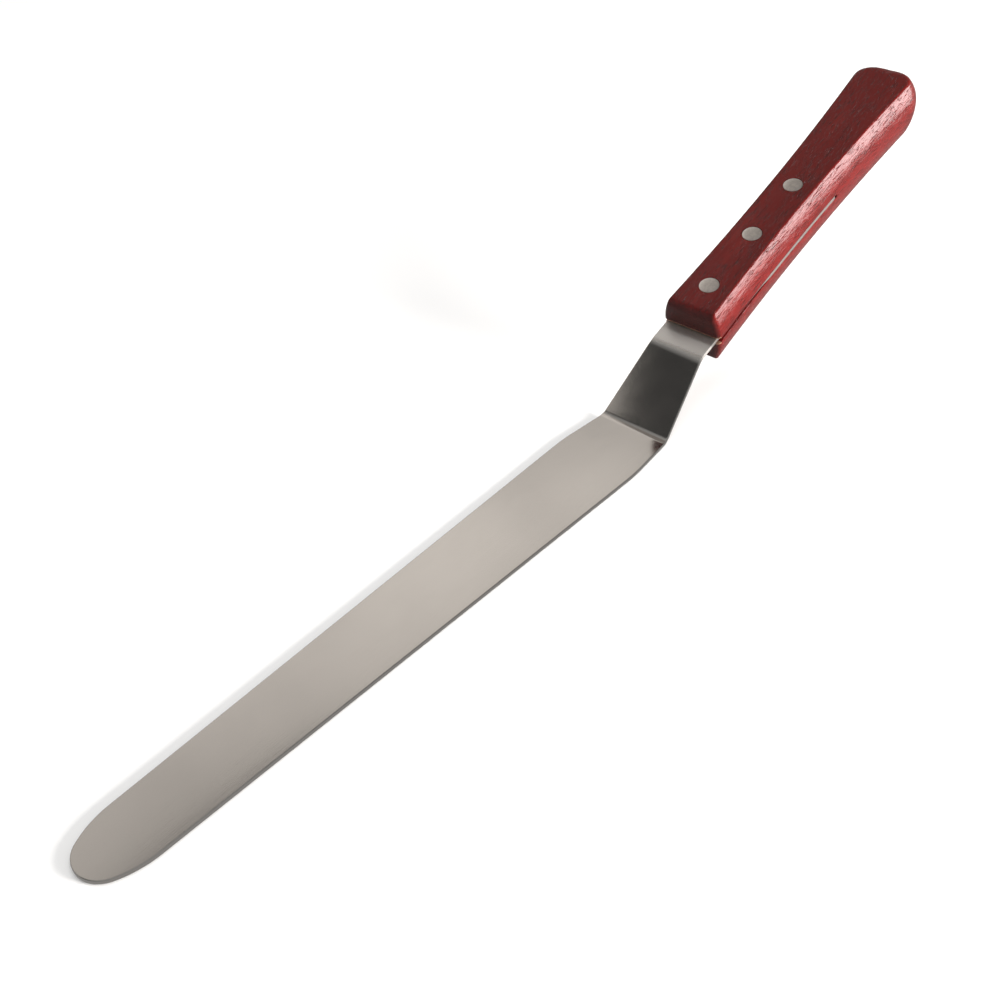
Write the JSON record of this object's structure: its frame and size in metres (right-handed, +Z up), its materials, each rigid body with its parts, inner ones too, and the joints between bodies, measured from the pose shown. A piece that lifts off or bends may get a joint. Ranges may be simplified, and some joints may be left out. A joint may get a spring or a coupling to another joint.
{
  "type": "offset spatula",
  "caption": "Offset spatula for icing: a long flexible blade with a rounded tip, cranked up to a slotted and riveted red wooden handle that clears the work.",
  "frame": {"origin": "on the table that the blade lies on, halfway between the tip and the butt, in the plane of symmetry", "axes": "+X from the round tip to the butt of the handle, +Y across the blade, +Z up, so the blade's underside is at Z = 0"},
  "size_m": [0.3596, 0.0268, 0.0718],
  "materials": {
    "stainless_sheet": "satin, finely brushed along its length",
    "dyed_wood": "open-grained, dyed dark red and varnished to a gloss",
    "rivet_metal": "satin, sanded flush with the wood"
  },
  "bodies": {
    "root": {"blade": "stainless_sheet", "handle": "dyed_wood", "front_rivet_pin": "rivet_metal", "front_rivet_sleeve": "rivet_metal", "middle_rivet_pin": "rivet_metal", "middle_rivet_sleeve": "rivet_metal", "rear_rivet_pin": "rivet_metal", "rear_rivet_sleeve": "rivet_metal"}
  },
  "joints": []
}
